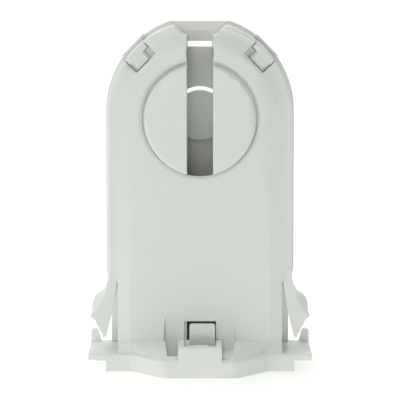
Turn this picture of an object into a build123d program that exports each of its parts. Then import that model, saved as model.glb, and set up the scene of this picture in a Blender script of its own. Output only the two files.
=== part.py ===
from build123d import *
import os
from math import cos, radians, sin

# Fluorescent lamp holder for lamps with two pins 12.7 mm apart, tall turn-lock snap-in kind.
# Sizes in millimetres. X is right, Y is back (the lamp is at -Y), Z is up.
# The origin is at the middle of the underside of the base.
# Depths in the body are measured back from the flat front face, and heights up from the underside.

# Whole holder
overall_height = 53.7
base_depth = 21.0
body_depth = 13.0
bulge_depth = base_depth - body_depth
face_y = base_depth / 2 - body_depth

# Lamp and wire, which the holder is made for
pin_spacing = 12.7
pin_diameter = 2.35
pin_press = 0.275
wire_entry_diameter = 2.2

# Front housing: arched shell
body_width = 28.6
top_flat = 0.75
shoulder_width = 1.3
shoulder_round = 0.45
shoulder_corner_round = 0.6
bevel_width = 2.1
bevel_drop = 0.8
front_wall = 1.6
side_wall = 1.3
lower_width = 25.5
arm_root_height = 13.5
edge_round = 0.3

# Front housing: rotor opening and lamp slot
lamp_axis_drop = 0.5
opening_radius = 8.95
opening_lip = 0.45
opening_wall = 0.55
slot_front_width = 4.2
slot_back_width = 3.74
slot_round = 0.25
mouth_width = 8.0
mouth_depth = 1.5
guide_wall = 1.1
guide_height = 3.6

# Front housing: base, flange and apron
flange_top = 2.7
flange_width = 34.6
flange_thickness = 1.0
flange_lead = 1.5
base_width = 29.1
bulge_flat = 11.6
bulge_foot = 20.9
bulge_bend = 2.2
bulge_round = 0.4
apron_height = 4.5

# Front housing: snap arms and tabs on the wings
arm_gap = 0.1
arm_front = 0.9
arm_back = 7.7
arm_flare_depth = 2.5
arm_root_length = 0.6
arm_blade_reach = 1.15
arm_blade_drop = 3.0
arm_barb_reach = 1.2
arm_barb_drop = 2.2
arm_barb_bulge = 0.35
arm_tip_slope = 0.2
arm_tip_length = 0.3
arm_barb_length = 1.0
arm_tip_undercut = 0.5
arm_side_bow = 0.2
arm_inner_bow = 0.15
arm_tip_reach = 2.75
arm_tip_height = 8.3
arm_foot_reach = 0.75
arm_foot_height = 5.0
arm_foot_thickness = 0.4
arm_steps = 3
arm_step_run = 0.7
arm_step_drop = 0.4
tab_height = 2.0
tab_width = 1.6
tab_top_width = 1.0
tab_round = 0.35
tab_depth = 2.0

# Front housing: foot window, bridge, ramps and wells
window_width = 4.9
window_top = 7.6
window_sill = 4.6
window_rebate = 0.6
window_lip = 0.42
bridge_width = 6.7
bridge_height = 4.75
bridge_wall = 1.2
bump_width = 2.5
bump_height = 0.2
pocket_floor = 2.2
well_wall = 2.0
well_outer = 5.4
well_taper = 0.4
left_well_floor = 1.2
right_well_floor = 2.9
ramp_top = 8.3
left_ramp_depth = 0.9
right_ramp_depth = 0.25
window_cheek = 0.3

# Shoulder notches and hooks
notch_angle = 46.0
notch_length = 4.2
notch_bottom = 11.5
ledge_thickness = 1.2
ledge_wall = 0.6
hook_nose_length = 3.1
hook_thickness = 1.2
hook_nose = 0.75
hook_rest_gap = 0.1
hook_round = 0.5
hook_gap = 0.15

# Back cover
cover_gap = 0.05
cover_thickness = 1.6
cover_rim = 0.55
cover_lower_width = 28.1
cover_round = 0.4
spigot_gap = 0.15
spigot_wall = 1.0
spigot_length = 1.5
spigot_rib_gap = 1.0
hook_pad_length = 4.8
hook_pad_depth = 0.5
hook_pad_sink = 0.1
slit_drop = 3.5
slit_height = 0.9
scoop_drop = 0.85
scoop_top_width = 8.4
scoop_back_wall = 0.35
scoop_foot_depth = 0.05
foot_hook_width = 3.95
foot_hook_shift = 0.35
foot_hook_thickness = 1.5
foot_hook_rise = 0.8
nose_top = 7.3
nose_bottom = 4.1
nose_depth = 1.3
nose_gap = 0.1
nose_round = 0.4

# Rotor
rotor_gap = 0.33
rotor_drop = 0.27
rotor_proud = 0.4
rotor_bevel_reach = 0.45
rotor_bevel_depth = 0.3
retainer_overlap = 0.95
retainer_thickness = 1.1
running_gap = 0.1
seat_gap = 0.15
core_end_gap = 0.25
hub_radius = 3.95
hub_gap = 0.35
hub_web = 0.9
rotor_slot_width = 4.0

# Contacts
strip_thickness = 0.4
strip_width = 6.0
strip_forward = 0.175
strip_core_gap = 0.35
strip_line = 10.4
strip_bend_rise = 1.4
strip_shoulder = 8.7
strip_shoulder_drop = 7.5
strip_top_rise = 6.8
terminal_height = 6.4
terminal_inner = 7.3
tongue_tip_height = 11.2
tongue_tip_gap = 0.5
rib_gap = 0.1
rib_width = 0.9
rib_low = 14.6
rib_high = 22.6
stop_width = 1.0
stop_height = 3.0
tongue_split = 0.4
wire_row_spacing = 3.0
strip_hole_diameter = 1.8

# How far a cutter runs past the surface that it cuts
cut_past = 1.0

# Sizes worked out from the ones above
half_body = body_width / 2
body_top = overall_height - cover_rim
arch_height = body_top + top_flat - half_body
lamp_axis_height = arch_height - lamp_axis_drop
bevel_half = half_body - shoulder_width - bevel_width
ledge_depth = bevel_drop + hook_nose + hook_rest_gap
cover_front = body_depth - cover_thickness
housing_depth = cover_front - cover_gap
cover_half = half_body + cover_rim
rotor_axis_height = lamp_axis_height - rotor_drop
disc_radius = opening_radius - rotor_gap
retainer_radius = opening_radius + retainer_overlap
retainer_front = opening_wall + running_gap
retainer_back = retainer_front + retainer_thickness
strip_bow = (pin_spacing + pin_diameter) / 2 - pin_press
core_radius = strip_bow - strip_core_gap
strip_middle = (retainer_back + cover_front) / 2 - strip_forward
strip_front = strip_middle - strip_width / 2
strip_back = strip_middle + strip_width / 2
wire_x = strip_line - tongue_tip_gap - wire_entry_diameter / 4


def at_depth(depth):
    """Plane parallel to the front face, so far behind it; its own y axis is the height."""
    return Plane(origin=(0, face_y + depth, 0), x_dir=(1, 0, 0), z_dir=(0, -1, 0))


def slab(sketch, front, back):
    """Prism of a front-view sketch between two depths."""
    return extrude(at_depth(front) * sketch, amount=front - back)


def upright(sketch, low, high):
    """Prism of a plan-view sketch between two heights."""
    return extrude(Pos(0, 0, low) * sketch, amount=high - low)


def bar(left, right, front, back, low, high):
    """Straight block given by its sides, its depths and its heights."""
    middle = ((left + right) / 2, face_y + (front + back) / 2, (low + high) / 2)
    return Pos(*middle) * Box(right - left, back - front, high - low)


def arch(half_width, low):
    """Front-view outline: straight sides from a height up to a half circle."""
    sides = Polyline((-half_width, arch_height), (-half_width, low),
                     (half_width, low), (half_width, arch_height))
    top = ThreePointArc((half_width, arch_height), (0, arch_height + half_width),
                        (-half_width, arch_height))
    return make_face(sides + top)


def shoulder_bar(side, start, end, inner, outer, front, back, rounding=0):
    """Block at a shoulder, turned to the arch: start and end along it, inner and outer from its centre.
    Its two front ends can be rounded."""
    block = Pos((start + end) / 2, 0, (inner + outer) / 2) * Box(end - start, back - front, outer - inner)
    if rounding:
        block = fillet(block.edges().filter_by(Axis.Z).group_by(Axis.Y)[0], rounding)
    turned = Rot(0, -notch_angle, 0) * block
    left_one = Pos(0, face_y + (front + back) / 2, arch_height) * turned
    return left_one if side < 0 else mirror(left_one, about=Plane.YZ)


def rounded_arch(back):
    """Arched block from the shoulder to a depth, rounded along its front edge and at its lower corners."""
    block = slab(arch(half_body, arm_root_height), bevel_drop, back)
    block = fillet(block.edges().filter_by(Axis.Y).group_by(Axis.Z)[0], shoulder_corner_round)
    return fillet(block.edges().group_by(Axis.Y)[0], shoulder_round)


def body_block():
    """Outside of the arched body, with its shoulder, its bevel and the flat front face."""
    upper = rounded_arch(housing_depth)
    flat_top = bar(-half_body, half_body, 0, housing_depth, body_top, body_top + half_body)
    lower = bar(-lower_width / 2, lower_width / 2, bevel_drop, housing_depth, flange_top / 2,
                arm_root_height + side_wall)
    foot = flange_top / 2
    bevel = loft([at_depth(bevel_drop) * arch(half_body - shoulder_width, foot),
                  at_depth(0) * arch(bevel_half, foot)], ruled=True)
    for side in (-1, 1):
        edges = sorted((side * lower_width / 2, side * half_body))
        bevel -= bar(edges[0], edges[1], -cut_past, bevel_drop, 0, arm_root_height)
    return (upper - flat_top) + lower + bevel


def cavity():
    """Hollow of the body, open at the back."""
    upper = slab(arch(half_body - side_wall, arm_root_height + side_wall), front_wall,
                 housing_depth + cut_past)
    lower_half = lower_width / 2 - side_wall
    lower = bar(-lower_half, lower_half, front_wall, housing_depth + cut_past, flange_top,
                arm_root_height + side_wall)
    return upper + lower


def bulged_plan(half_width, back, inset=0):
    """Plan with a front edge that runs out obliquely to the bulge, square sides and a straight back."""
    end_y = face_y - flange_lead + inset
    mid_y = face_y - bulge_depth + inset
    half_foot = bulge_foot / 2 - inset
    half_flat = bulge_flat / 2 - inset
    return Polyline((-half_width, back), (-half_width, end_y), (-half_foot, end_y), (-half_flat, mid_y),
                    (half_flat, mid_y), (half_foot, end_y), (half_width, end_y), (half_width, back),
                    (-half_width, back))


def apron():
    """Slope from the bevelled front wall out and down to the rounded top edge of the bulged front."""
    inside = face_y + front_wall / 2
    half_end = lower_width / 2
    half_flat = bulge_flat / 2
    end_y = face_y + bevel_drop * (half_end - bevel_half) / bevel_width
    high = Polyline((-half_end, inside), (-half_end, end_y), (-bevel_half, face_y), (-half_flat, face_y),
                    (half_flat, face_y), (bevel_half, face_y), (half_end, end_y), (half_end, inside),
                    (-half_end, inside))
    low = bulged_plan(half_end, inside, bulge_round)
    return loft([Pos(0, 0, flange_top) * make_face(low), Pos(0, 0, apron_height) * make_face(high)],
                ruled=True)


def base_block():
    """Base, flange with its wings, apron and the bridge below the window, with a bump on its sill."""
    block = upright(make_face(bulged_plan(base_width / 2, face_y + body_depth)), 0, flange_top)
    bends = block.edges().filter_by(Axis.Z)
    bends = bends.filter_by(lambda edge: abs(edge.center().X) < base_width / 2 - edge_round)
    block = fillet(bends, bulge_bend)
    front_edges = block.edges().filter_by_position(Axis.Z, flange_top, flange_top)
    front_edges = front_edges.filter_by_position(Axis.Y, face_y - bulge_depth, face_y - flange_lead)
    block = fillet(front_edges, bulge_round)
    wing = bar(-flange_width / 2, flange_width / 2, -flange_lead, body_depth,
               flange_top - flange_thickness, flange_top)
    wing_edges = wing.edges().filter_by(Axis.Z) + wing.edges().filter_by(Axis.X).group_by(Axis.Y)[0][-1:]
    wing = fillet(wing_edges, edge_round)
    bridge = bar(-bridge_width / 2, bridge_width / 2, -bulge_depth, front_wall / 2, 0, bridge_height)
    bridge = fillet(bridge.edges().filter_by(Axis.X).group_by(Axis.Y)[0][-1], edge_round)
    bump = bar(-bump_width / 2, bump_width / 2, -bulge_depth + edge_round, -bulge_depth + bridge_wall,
               bridge_height / 2, bridge_height + bump_height)
    return block + wing + apron() + bridge + bump


def arm_outline(reach, drop, bulge, tip_length):
    """Front view of the left snap arm: its outer edge runs from the side through a waist, so far out and
    down, to the tip; its foot is stepped and its inner edge is bowed towards the body."""
    root_inner = -lower_width / 2 - arm_gap
    tip = (-half_body - arm_tip_reach, arm_tip_height)
    foot_outer = -half_body - arm_foot_reach
    foot_inner = foot_outer + arm_foot_thickness
    step_start = (tip[0] + arm_tip_undercut, arm_tip_height - arm_tip_undercut)
    reach_step = (foot_outer - step_start[0]) / arm_steps
    height_step = (step_start[1] - arm_foot_height) / arm_steps
    steps = []
    for step in range(arm_steps):
        corner = (step_start[0] + step * reach_step, step_start[1] - step * height_step)
        steps.append(corner)
        steps.append((corner[0] + reach_step * arm_step_run, corner[1] - height_step * arm_step_drop))
    steps.append((foot_outer, arm_foot_height))
    side = (-half_body, arm_root_height + arm_root_length)
    waist = (-half_body - reach, arm_root_height - drop)
    tip_top = (tip[0] + arm_tip_slope, arm_tip_height + tip_length)
    outer_middle = ((side[0] + waist[0]) / 2 + arm_side_bow, (side[1] + waist[1]) / 2)
    outer = ThreePointArc(side, outer_middle, waist)
    slope_middle = ((waist[0] + tip_top[0]) / 2 - bulge, (waist[1] + tip_top[1]) / 2 + bulge)
    slope = ThreePointArc(waist, slope_middle, tip_top)
    foot = Polyline(tip_top, tip, *steps, (foot_inner, arm_foot_height))
    inner_middle = ((foot_inner + root_inner) / 2 + arm_inner_bow, (arm_foot_height + arm_root_height) / 2)
    inner = ThreePointArc((foot_inner, arm_foot_height), inner_middle, (root_inner, arm_root_height))
    top = Polyline((root_inner, arm_root_height), (root_inner, side[1]), side)
    return make_face(outer + slope + foot + inner + top)


def snap_arm():
    """Left snap arm: a slim blade in front that widens backwards into a barb above the tip."""
    blade = arm_outline(arm_blade_reach, arm_blade_drop, -arm_inner_bow, arm_tip_length)
    barb = arm_outline(arm_barb_reach, arm_barb_drop, arm_barb_bulge, arm_barb_length)
    flare_back = arm_front + arm_flare_depth
    flare = loft([at_depth(arm_front) * blade, at_depth(flare_back) * barb], ruled=True)
    return flare + slab(barb, flare_back, arm_back)


def wing_tab():
    """Left upright tab at the outer back corner of the wing."""
    outer = -flange_width / 2
    foot = flange_top - flange_thickness / 2
    profile = make_face(Polyline((outer, foot), (outer, flange_top + tab_height),
                                 (outer + tab_top_width, flange_top + tab_height),
                                 (outer + tab_width, flange_top), (outer + tab_width, foot),
                                 (outer, foot)))
    tab = slab(profile, body_depth - tab_depth, body_depth)
    return fillet(tab.edges().filter_by(Axis.Y).group_by(Axis.Z)[-1], tab_round)


def slot_cutter(front_width, back_width, low, high, front, back, rounding):
    """Upright cutter for the lamp slot: tapered in plan, with rounded front edges."""
    half_front = front_width / 2
    half_back = back_width / 2
    y0 = face_y + front
    y1 = face_y + back
    lip = half_front + rounding
    curve = sin(radians(45)) * rounding
    right_lip = ThreePointArc((lip, y0), (lip - curve, y0 + rounding - curve), (half_front, y0 + rounding))
    left_lip = ThreePointArc((-half_front, y0 + rounding), (-lip + curve, y0 + rounding - curve), (-lip, y0))
    back_line = Polyline((half_front, y0 + rounding), (half_back, y1), (-half_back, y1),
                         (-half_front, y0 + rounding))
    front_line = Polyline((-lip, y0), (-lip, y0 - cut_past), (lip, y0 - cut_past), (lip, y0))
    return upright(make_face(right_lip + back_line + left_lip + front_line), low, high)


def mouth_cutter():
    """Cutter for the sloped lips at the top of the slot."""
    half_mouth = mouth_width / 2
    half_slot = slot_front_width / 2 + slot_round
    low = body_top - mouth_depth
    above = body_top + cut_past
    profile = make_face(Polyline((-half_slot, low), (-half_mouth, body_top), (-half_mouth, above),
                                 (half_mouth, above), (half_mouth, body_top), (half_slot, low),
                                 (-half_slot, low)))
    return slab(profile, -cut_past, housing_depth + cut_past)


def well_cutter(side, floor, ramp_depth):
    """Cutter for the ramp in the wall and the well in the apron on one side of the bridge."""
    inner = bridge_width / 2
    front_y = face_y - bulge_depth + well_wall
    plan = make_face(Polyline((inner, front_y), (well_outer - well_taper, front_y),
                              (well_outer, face_y), (well_outer, face_y + ramp_depth),
                              (inner, face_y + ramp_depth), (inner, front_y)))
    well = upright(plan, floor, ramp_top)
    ramp_side = Plane(origin=(0, 0, 0), x_dir=(0, 1, 0), z_dir=(1, 0, 0))
    ramp = make_face(Polyline((face_y - bulge_depth, floor), (face_y + ramp_depth, floor),
                              (face_y, ramp_top), (face_y - bulge_depth, ramp_top),
                              (face_y - bulge_depth, floor)))
    wedge = extrude(ramp_side * ramp, amount=well_outer + cut_past)
    cheek = window_width / 2 + window_cheek
    scoop = bar(cheek, well_outer, -bulge_depth, ramp_depth, bridge_height, ramp_top)
    cutter = (well + scoop) & wedge
    return cutter if side > 0 else mirror(cutter, about=Plane.YZ)


def window_cutter():
    """Foot window through the front wall, narrower behind a rebate, and the well for the hook's nose
    behind the bridge's front."""
    half = window_width / 2
    rebate = bar(-half, half, -nose_depth, window_rebate, window_sill, window_top)
    window = bar(-half + window_lip, half, 0, front_wall + cut_past, window_sill, window_top)
    pocket = bar(-half, half, -bulge_depth + bridge_wall, 0, pocket_floor, window_top)
    return rebate + window + pocket


def contact_ribs():
    """Pairs of upright ribs that hold the straight part of each contact strip."""
    inner = bar(strip_line - rib_gap - rib_width, strip_line - rib_gap, front_wall / 2, strip_back,
                rib_low, rib_high)
    outer_start = strip_line + strip_thickness + rib_gap
    outer = bar(outer_start, half_body - side_wall / 2, front_wall / 2, strip_back, rib_low, rib_high)
    right = inner + outer
    return right + mirror(right, about=Plane.YZ)


def wire_holes():
    """Two wire entries below each contact, up through the base."""
    holes = []
    for x in (-wire_x, wire_x):
        for shift in (-wire_row_spacing / 2, wire_row_spacing / 2):
            y = face_y + strip_middle + shift
            hole = Pos(x, y, flange_top / 2) * Cylinder(wire_entry_diameter / 2, flange_top + 2 * cut_past)
            holes.append(hole)
    return holes


def front_housing():
    shell = body_block() - cavity()
    opening = at_depth(0) * Pos(0, lamp_axis_height) * Circle(opening_radius)
    shell -= extrude(opening, amount=-(front_wall + cut_past))
    rim = shell.edges().filter_by(GeomType.CIRCLE).filter_by(lambda edge: edge.radius == opening_radius)
    shell = chamfer(rim.group_by(Axis.Y)[0], opening_lip)
    seat_radius = retainer_radius + rotor_drop + seat_gap
    shell -= slab(Pos(0, lamp_axis_height) * Circle(seat_radius), opening_wall, front_wall + cut_past)
    ledges = []
    for side in (-1, 1):
        half_ledge = notch_length / 2 + ledge_wall
        block = shoulder_bar(side, -half_ledge, half_ledge, notch_bottom - ledge_wall,
                             half_body - side_wall / 2, front_wall / 2, ledge_depth + ledge_thickness)
        ledges.append(block)
    guide_outer = slot_back_width / 2 + guide_wall
    guide = bar(-guide_outer, guide_outer, front_wall / 2, housing_depth, body_top - guide_height,
                arch_height + half_body - side_wall / 2)
    housing = shell + ledges + guide + base_block() + contact_ribs()
    arm = snap_arm() + wing_tab()
    housing += [arm, mirror(arm, about=Plane.YZ)]
    back = housing_depth + cut_past
    cutters = [slot_cutter(slot_front_width, slot_back_width, lamp_axis_height + opening_radius / 2,
                           body_top + cut_past, 0, back, slot_round),
               mouth_cutter(), window_cutter(), well_cutter(-1, left_well_floor, left_ramp_depth),
               well_cutter(1, right_well_floor, right_ramp_depth)]
    half_notch = notch_length / 2
    outside = half_body + cut_past
    for side in (-1, 1):
        cutters.append(shoulder_bar(side, -half_notch, half_notch, notch_bottom, outside,
                                    -cut_past, ledge_depth))
        cutters.append(shoulder_bar(side, -half_notch, half_notch, half_body - side_wall, outside,
                                    -cut_past, back))
    return housing - (cutters + wire_holes())


def hook_start():
    """Where a shoulder hook starts along its notch, from the notch's middle."""
    return -notch_length / 2 + hook_gap


def shoulder_hook(side):
    """Strip from the cover forward through the shoulder notch, with a nose that drops behind its end."""
    start = hook_start()
    strip = shoulder_bar(side, start, -start, half_body - hook_thickness, half_body + cut_past, bevel_drop,
                         cover_front + cover_thickness / 2)
    nose = shoulder_bar(side, start, start + hook_nose_length, notch_bottom + hook_gap,
                        half_body - hook_thickness / 2, bevel_drop, bevel_drop + hook_nose, hook_round)
    return (strip + nose) & rounded_arch(body_depth)


def back_cover():
    foot = flange_top + cover_gap
    plate = slab(arch(cover_half, arm_root_height + side_wall / 3), cover_front, body_depth)
    before = cover_front - cut_past
    behind = body_depth + cut_past
    plate -= bar(-cover_half, cover_half, before, behind, overall_height, overall_height + cover_half)
    plate += bar(-cover_lower_width / 2, cover_lower_width / 2, cover_front, body_depth, foot,
                 arm_root_height + side_wall)
    plate = chamfer(plate.edges().group_by(Axis.Y)[-1], cover_round)
    spigot_outer = half_body - side_wall - spigot_gap
    spigot_low = rib_high + spigot_rib_gap
    spigot = slab(arch(spigot_outer, spigot_low), cover_front - spigot_length, cover_front)
    spigot -= slab(arch(spigot_outer - spigot_wall, spigot_low - cut_past), 0, cover_front + cut_past)
    guide_clear = slot_back_width / 2 + guide_wall + spigot_gap
    spigot -= bar(-guide_clear, guide_clear, 0, cover_front + cut_past, arch_height, body_top)
    cover = plate + spigot
    pad = hook_pad_length / 2
    stop_inner = strip_shoulder + strip_thickness + rib_gap
    stop_top = rotor_axis_height + strip_top_rise
    pad_front = cover_front - hook_pad_depth
    for side in (-1, 1):
        cover += [shoulder_bar(side, -pad, pad, half_body - hook_pad_sink, cover_half, pad_front, body_depth),
                  shoulder_hook(side)]
        stop = sorted((side * stop_inner, side * (stop_inner + stop_width)))
        cover += bar(stop[0], stop[1], strip_front, cover_front + cover_thickness / 2,
                     stop_top - stop_height, stop_top)
    cover += foot_hook()
    cover -= slab(Pos(0, lamp_axis_height) * Circle(hub_radius + hub_gap), before, behind)
    slit_bottom = body_top - slit_drop
    cover -= bar(-slot_back_width / 2, slot_back_width / 2, before, behind,
                 slit_bottom, slit_bottom + slit_height)
    return cover - scoop_cutter()


def scoop_cutter():
    """Funnel cut into the top of the cover behind the slot, leaving a thin wall at the back."""
    start = face_y + cover_front - cut_past
    low_depth = cut_past + scoop_foot_depth
    high_depth = cut_past + cover_thickness - scoop_back_wall
    low_middle = Pos(0, start + low_depth / 2, body_top - scoop_drop)
    high_middle = Pos(0, start + high_depth / 2, overall_height)
    low = low_middle * Rectangle(slot_back_width, low_depth)
    high = high_middle * Rectangle(scoop_top_width, high_depth)
    return loft([low, high], ruled=True)


def foot_hook():
    """Tongue from the cover through the foot window, with a barrel-fronted nose that drops over the sill."""
    left = foot_hook_shift - foot_hook_width / 2
    right = foot_hook_shift + foot_hook_width / 2
    tongue_low = window_sill + foot_hook_rise
    tongue = bar(left, right, -nose_gap - nose_depth / 2, cover_front + cover_thickness / 2, tongue_low,
                 tongue_low + foot_hook_thickness)
    side_plane = Plane(origin=(left, 0, 0), x_dir=(0, 1, 0), z_dir=(1, 0, 0))
    back_y = face_y - nose_gap
    front_y = face_y - nose_gap - nose_depth
    middle = (nose_top + nose_bottom) / 2
    barrel = ThreePointArc((back_y - nose_depth / 3, nose_bottom), (front_y, middle),
                           (back_y - nose_depth / 3, nose_top))
    rest = Polyline((back_y - nose_depth / 3, nose_top), (back_y, nose_top), (back_y, nose_bottom),
                    (back_y - nose_depth / 3, nose_bottom))
    nose = extrude(side_plane * make_face(barrel + rest), amount=foot_hook_width)
    nose_face = RectangleRounded(foot_hook_width, nose_top - nose_bottom, nose_round)
    return tongue + (nose & slab(Pos(foot_hook_shift, middle) * nose_face, -nose_gap - nose_depth, 0))


def rotor():
    """Turned body with a lamp-pin slot across it; the two halves are joined by the web in the hub."""
    axis = Pos(0, rotor_axis_height)
    core_end = cover_front - core_end_gap
    disc = slab(axis * Circle(disc_radius), -rotor_proud, retainer_front + retainer_thickness / 2)
    front = disc.faces().sort_by(Axis.Y)[0]
    disc = chamfer(front.edges(), rotor_bevel_reach, rotor_bevel_depth, reference=front)
    body = disc + slab(axis * Circle(retainer_radius), retainer_front, retainer_back)
    body += slab(axis * Circle(core_radius), retainer_back, core_end)
    slot_reach = retainer_radius + cut_past
    body -= slot_cutter(rotor_slot_width, rotor_slot_width, rotor_axis_height - slot_reach,
                        rotor_axis_height + slot_reach, -rotor_proud, core_end + cut_past, slot_round)
    return body + slab(axis * Circle(hub_radius), cover_front - hub_web, body_depth - running_gap)


def contact():
    """Right contact: bowed at the pin, straight between the ribs, folded up below to grip two wires."""
    half = strip_thickness / 2
    axis = rotor_axis_height
    top = (strip_shoulder + half, axis + strip_top_rise)
    bow = (strip_bow + half, axis)
    low = (strip_shoulder + half, axis - strip_shoulder_drop)
    bend = (strip_line + half, rib_high + strip_bend_rise)
    floor_outer = (strip_line + half, terminal_height)
    floor_inner = (terminal_inner, terminal_height)
    tip = (strip_line - tongue_tip_gap, tongue_tip_height)
    path = ThreePointArc(top, bow, low) + Polyline(low, bend, floor_outer, floor_inner, tip)
    strip = slab(make_face(offset(path, amount=strip_thickness / 2)), strip_front, strip_back)
    holes = []
    for shift in (-wire_row_spacing / 2, wire_row_spacing / 2):
        y = face_y + strip_middle + shift
        holes.append(Pos(wire_x, y, terminal_height) * Cylinder(strip_hole_diameter / 2, 2 * strip_thickness))
    split = bar(0, strip_line - half, strip_middle - tongue_split / 2, strip_middle + tongue_split / 2,
                terminal_height + strip_thickness, tongue_tip_height + cut_past)
    return strip - (holes + [split])


def save(name, shape):
    """Writes one sub-part."""
    export_step(shape, "parts/" + name + ".step")


os.makedirs("parts", exist_ok=True)
save("front_housing", front_housing())
save("back_cover", back_cover())
save("rotor", rotor())
right_contact = contact()
save("contact_right", right_contact)
save("contact_left", mirror(right_contact, about=Plane.YZ))
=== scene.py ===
from math import radians

import bmesh
import bpy
from mathutils import Matrix, Vector


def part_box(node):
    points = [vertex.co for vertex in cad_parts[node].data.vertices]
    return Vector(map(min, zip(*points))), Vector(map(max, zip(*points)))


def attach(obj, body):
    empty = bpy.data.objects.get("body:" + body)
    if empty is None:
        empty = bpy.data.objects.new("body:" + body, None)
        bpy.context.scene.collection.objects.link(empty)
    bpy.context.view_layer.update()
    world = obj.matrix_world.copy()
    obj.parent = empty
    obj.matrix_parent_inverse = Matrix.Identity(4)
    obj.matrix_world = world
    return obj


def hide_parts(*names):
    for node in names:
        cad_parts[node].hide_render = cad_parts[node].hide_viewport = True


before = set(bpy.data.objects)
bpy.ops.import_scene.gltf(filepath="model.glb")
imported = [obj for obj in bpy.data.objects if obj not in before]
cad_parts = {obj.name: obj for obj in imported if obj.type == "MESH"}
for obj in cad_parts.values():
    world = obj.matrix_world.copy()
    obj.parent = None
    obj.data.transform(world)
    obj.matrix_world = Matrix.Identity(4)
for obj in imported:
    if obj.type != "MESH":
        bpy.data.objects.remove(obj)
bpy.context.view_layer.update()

# Camera: a long lens about 0.4 m in front of the holder and a little above it, as in the photo.
# It looks at the middle of the front face's width, half way up the holder.
housing_low, housing_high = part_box("front_housing")
bulge_depth = 0.008
front_face = housing_low.y + bulge_depth
camera_distance = 0.414
camera_height = 0.0686
aim_height = 0.0265
film_width = 36.0
lens_to_film = 6.742
nearest_seen = 0.01
farthest_seen = 50.0

camera_data = bpy.data.cameras.new("camera")
camera_data.sensor_width = film_width
camera_data.lens = film_width * lens_to_film
camera_data.clip_start = nearest_seen
camera_data.clip_end = farthest_seen
camera = bpy.data.objects.new("camera", camera_data)
camera.location = (0.0, front_face - camera_distance, camera_height)
aim = Vector((0.0, front_face, aim_height))
camera.rotation_euler = (aim - camera.location).to_track_quat("-Z", "Y").to_euler()
bpy.context.scene.collection.objects.link(camera)
bpy.context.scene.camera = camera


# Front housing: one injection moulding in glossy white plastic, the arched shell with its base,
# flange, apron and two snap arms. Its edges are slightly rounded, as they leave the mould.
weld_reach = 2e-6
sliver_edge = 1e-7
crease_angle = radians(18.0)


def merged_copy(node, name):
    """A CAD node's mesh with its loose triangles joined, smooth but for its creases. Each shared
    normal follows the larger faces at its corner, so that flat faces stay flat."""
    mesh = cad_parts[node].data.copy()
    mesh.name = name
    work = bmesh.new()
    work.from_mesh(mesh)
    bmesh.ops.remove_doubles(work, verts=work.verts, dist=weld_reach)
    bmesh.ops.dissolve_degenerate(work, edges=work.edges, dist=sliver_edge)
    work.to_mesh(mesh)
    work.free()
    mesh.shade_smooth()
    mesh.set_sharp_from_angle(angle=crease_angle)
    piece = bpy.data.objects.new(name, mesh)
    bpy.context.scene.collection.objects.link(piece)
    weighting = piece.modifiers.new("weighting", "WEIGHTED_NORMAL")
    weighting.keep_sharp = True
    weighted = piece.evaluated_get(bpy.context.evaluated_depsgraph_get())
    piece.data = bpy.data.meshes.new_from_object(weighted)
    piece.modifiers.clear()
    return piece


def blank_material(name):
    """A new material, with the tree of its nodes and its main shader."""
    material = bpy.data.materials.new(name)
    material.use_nodes = True
    tree = material.node_tree
    return material, tree, tree.nodes["Principled BSDF"]


def mottle(tree, place, scale, detail=2.0, bend=0.0):
    """An uneven pattern from 0 to 1 over a place, with so many marks per metre, finer marks within
    them for more detail, and bent about for more bend."""
    noise = tree.nodes.new("ShaderNodeTexNoise")
    noise.inputs["Scale"].default_value = scale
    noise.inputs["Detail"].default_value = detail
    noise.inputs["Distortion"].default_value = bend
    tree.links.new(place, noise.inputs["Vector"])
    return noise.outputs["Fac"]


def stretched(tree, value, low, high, start=0.0, end=1.0, course="LINEAR"):
    """A value's run from start to end, stretched to run from low to high and held past both."""
    run = tree.nodes.new("ShaderNodeMapRange")
    run.interpolation_type = course
    for name, number in (("From Min", start), ("From Max", end), ("To Min", low), ("To Max", high)):
        run.inputs[name].default_value = number
    tree.links.new(value, run.inputs["Value"])
    return run.outputs["Result"]


def tint(tree, shader, pattern, low_colour, high_colour):
    """Colours the shader from one colour to another along a pattern."""
    mix = tree.nodes.new("ShaderNodeMix")
    mix.data_type = "RGBA"
    mix.inputs["A"].default_value = (*low_colour, 1.0)
    mix.inputs["B"].default_value = (*high_colour, 1.0)
    tree.links.new(pattern, mix.inputs["Factor"])
    tree.links.new(mix.outputs["Result"], shader.inputs["Base Color"])


def roughen(tree, shader, pattern, strength, depth):
    """Raises the shader's surface along a pattern, by a depth in metres."""
    bump = tree.nodes.new("ShaderNodeBump")
    bump.inputs["Strength"].default_value = strength
    bump.inputs["Distance"].default_value = depth
    tree.links.new(pattern, bump.inputs["Height"])
    tree.links.new(bump.outputs["Normal"], shader.inputs["Normal"])
    return bump


plastic_refraction = 1.5
milky_share = 0.25
milky_colour = (1.0, 0.95, 0.85)
milky_depth = 0.0006
flow_marks = 90.0
flow_detail = 5.0
flow_bend = 0.6
sheen_spread = 0.06
grain_marks = 5200.0
grain_detail = 3.0
grain_strength = 0.03
grain_depth = 0.00005
edge_radius = 0.00015
edge_samples = 8


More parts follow.
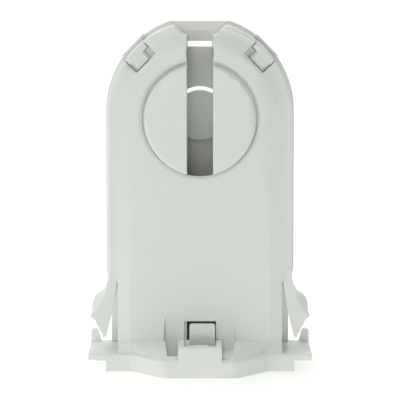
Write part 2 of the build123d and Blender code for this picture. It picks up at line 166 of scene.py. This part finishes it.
def white_plastic(name, colour, deep_colour, roughness):
    """Moulded white plastic: a soft sheen, faint flow marks, fine mould grain and rounded edges."""
    material, tree, shader = blank_material(name)
    shader.inputs["IOR"].default_value = plastic_refraction
    shader.inputs["Subsurface Weight"].default_value = milky_share
    shader.inputs["Subsurface Radius"].default_value = milky_colour
    shader.inputs["Subsurface Scale"].default_value = milky_depth
    place = tree.nodes.new("ShaderNodeTexCoord").outputs["Object"]

    flow = mottle(tree, place, flow_marks, flow_detail, flow_bend)
    tint(tree, shader, flow, deep_colour, colour)
    sheen = stretched(tree, flow, roughness - sheen_spread, roughness + sheen_spread)
    tree.links.new(sheen, shader.inputs["Roughness"])

    grain = mottle(tree, place, grain_marks, grain_detail)
    bump = roughen(tree, shader, grain, grain_strength, grain_depth)
    rounded = tree.nodes.new("ShaderNodeBevel")
    rounded.samples = edge_samples
    rounded.inputs["Radius"].default_value = edge_radius
    tree.links.new(rounded.outputs["Normal"], bump.inputs["Normal"])
    return material


def dress(piece, material, node, body):
    """Gives a piece its material, lets it ride on its body and stand for its CAD node."""
    piece.data.materials.clear()
    piece.data.materials.append(material)
    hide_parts(node)
    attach(piece, body)


moulded_roughness = 0.36
housing_colour = (0.905, 0.922, 0.893)
housing_deep_colour = (0.888, 0.906, 0.876)
housing_white = white_plastic("housing_white", housing_colour, housing_deep_colour,
                              moulded_roughness)
housing = merged_copy("front_housing", "housing_moulding")
dress(housing, housing_white, "front_housing", "holder")


# Back cover: a second moulding in the same plastic, snapped on with two shoulder hooks and a
# foot hook. It carries the rotor's hub in a round hole.
cover_colour = (0.895, 0.913, 0.883)
cover_deep_colour = (0.876, 0.895, 0.864)
cover_white = white_plastic("cover_white", cover_colour, cover_deep_colour, moulded_roughness)
cover = merged_copy("back_cover", "cover_moulding")
dress(cover, cover_white, "back_cover", "holder")


# Rotor: the turning moulding that takes the lamp's pins in its slot, in a slightly smoother finish.
# It lies loose between the housing's opening and the cover's hole, held by the wide flange behind
# its front disc.
rotor_roughness = 0.33
rotor_colour = (0.908, 0.925, 0.896)
rotor_deep_colour = (0.892, 0.91, 0.88)
rotor_white = white_plastic("rotor_white", rotor_colour, rotor_deep_colour, rotor_roughness)
rotor = merged_copy("rotor", "rotor_moulding")
dress(rotor, rotor_white, "rotor", "turning_rotor")


# Contacts: two bent strips of rolled phosphor bronze, held between ribs in the housing. Each
# presses on one pin with its bow and grips two wires with its tongues.
bronze_colour = (0.76, 0.50, 0.29)
bronze_worn_colour = (0.66, 0.42, 0.24)
bronze_smoothest = 0.22
bronze_roughest = 0.42
bronze_patches = 400.0
streak_marks = 4000.0
streak_detail = 4.0
streak_stretch = (1.0, 1.0, 0.06)
streak_strength = 0.08
streak_depth = 0.00003


def rolled_bronze(name, colour, worn_colour):
    """Phosphor bronze strip with fine streaks along its length and slightly uneven colour."""
    material, tree, shader = blank_material(name)
    shader.inputs["Metallic"].default_value = 1.0
    place = tree.nodes.new("ShaderNodeTexCoord").outputs["Object"]
    drawn_out = tree.nodes.new("ShaderNodeMapping")
    drawn_out.inputs["Scale"].default_value = streak_stretch
    tree.links.new(place, drawn_out.inputs["Vector"])
    streaks = mottle(tree, drawn_out.outputs["Vector"], streak_marks, streak_detail)
    tint(tree, shader, mottle(tree, place, bronze_patches), worn_colour, colour)
    sheen = stretched(tree, streaks, bronze_smoothest, bronze_roughest)
    tree.links.new(sheen, shader.inputs["Roughness"])
    roughen(tree, shader, streaks, streak_strength, streak_depth)
    return material


contact_bronze = rolled_bronze("contact_bronze", bronze_colour, bronze_worn_colour)
for side in ("left", "right"):
    strip = merged_copy("contact_" + side, "contact_strip_" + side)
    dress(strip, contact_bronze, "contact_" + side, "holder")


# Stage: a plain, very pale floor that glows a little, so that it shows white all round the holder
# as the photo's ground does.
floor_reach = 12.0
floor_grey = 0.9
floor_roughness = 0.9
floor_gloss = 0.1
floor_mesh = bpy.data.meshes.new("floor")
corners = [(-floor_reach, -floor_reach, 0.0), (floor_reach, -floor_reach, 0.0),
           (floor_reach, floor_reach, 0.0), (-floor_reach, floor_reach, 0.0)]
floor_mesh.from_pydata(corners, [], [(0, 1, 2, 3)])
floor = bpy.data.objects.new("floor", floor_mesh)
bpy.context.scene.collection.objects.link(floor)
floor_pale, floor_tree, floor_shader = blank_material("floor_pale")
floor_shader.inputs["Base Color"].default_value = (floor_grey, floor_grey, floor_grey, 1.0)
floor_shader.inputs["Roughness"].default_value = floor_roughness
floor_shader.inputs["Specular IOR Level"].default_value = floor_gloss
floor_shader.inputs["Emission Color"].default_value = (1.0, 1.0, 1.0, 1.0)
floor_axes = floor_tree.nodes.new("ShaderNodeSeparateXYZ")
floor_place = floor_tree.nodes.new("ShaderNodeTexCoord").outputs["Object"]
floor_tree.links.new(floor_place, floor_axes.inputs["Vector"])


def floor_glow(start, end, low, high):
    """Glow of the floor that changes smoothly from low to high between two places along Y."""
    return stretched(floor_tree, floor_axes.outputs["Y"], low, high, start, end, "SMOOTHSTEP")


def summed(tree, first, second, total):
    """Adds two values and sends their sum to a socket."""
    both = tree.nodes.new("ShaderNodeMath")
    both.operation = "ADD"
    tree.links.new(first, both.inputs[0])
    tree.links.new(second, both.inputs[1])
    tree.links.new(both.outputs["Value"], total)


near_glow = floor_glow(start=-0.07, end=-0.028, low=0.1, high=0.36)
far_glow = floor_glow(start=0.0, end=0.08, low=0.0, high=0.25)
summed(floor_tree, near_glow, far_glow, floor_shader.inputs["Emission Strength"])
floor_mesh.materials.append(floor_pale)


# Light: a soft lamp low at the left, a high key lamp and a small front lamp, in a tent that is
# brightest above and a little to the left, with a white backdrop behind the holder.
lamp_distance = 0.6


def soft_lamp(name, azimuth, elevation, size, power):
    """A square area lamp aimed at the middle of the holder from a direction round it."""
    data = bpy.data.lights.new(name, "AREA")
    data.size = size
    data.energy = power
    lamp = bpy.data.objects.new(name, data)
    turn = Matrix.Rotation(radians(azimuth), 4, "Z") @ Matrix.Rotation(radians(-elevation), 4, "X")
    reach = turn @ Vector((0.0, -lamp_distance, 0.0))
    middle = Vector((0.0, 0.0, housing_high.z / 2))
    lamp.location = middle + reach
    lamp.rotation_euler = (-reach).to_track_quat("-Z", "Y").to_euler()
    bpy.context.scene.collection.objects.link(lamp)


soft_lamp("lamp_left", azimuth=-80.0, elevation=15.0, size=0.3, power=0.3)
soft_lamp("lamp_key", azimuth=-25.0, elevation=55.0, size=0.25, power=0.45)
soft_lamp("lamp_front", azimuth=-3.0, elevation=9.0, size=0.12, power=0.26)

surround = bpy.data.worlds.new("surround")
surround.use_nodes = True
tent = surround.node_tree
tent_light = tent.nodes["Background"]
tent_light.inputs["Color"].default_value = (0.97, 1.0, 0.955, 1.0)
gaze = tent.nodes.new("ShaderNodeTexCoord").outputs["Generated"]


def bright_side(direction, strength, edge=0.0):
    """Light of the tent, full along a direction and fading to none where the cosine of the angle
    from it falls to the edge."""
    lean = tent.nodes.new("ShaderNodeVectorMath")
    lean.operation = "DOT_PRODUCT"
    lean.inputs[1].default_value = direction
    tent.links.new(gaze, lean.inputs[0])
    return stretched(tent, lean.outputs["Value"], 0.0, strength, start=edge)


top_light = bright_side(direction=(-0.22, -0.05, 0.97), strength=0.61, edge=0.05)
backdrop_light = bright_side(direction=(0.0, 0.95, 0.3), strength=0.86)
summed(tent, top_light, backdrop_light, tent_light.inputs["Strength"])
bpy.context.scene.world = surround
bpy.context.scene.view_settings.view_transform = "Standard"
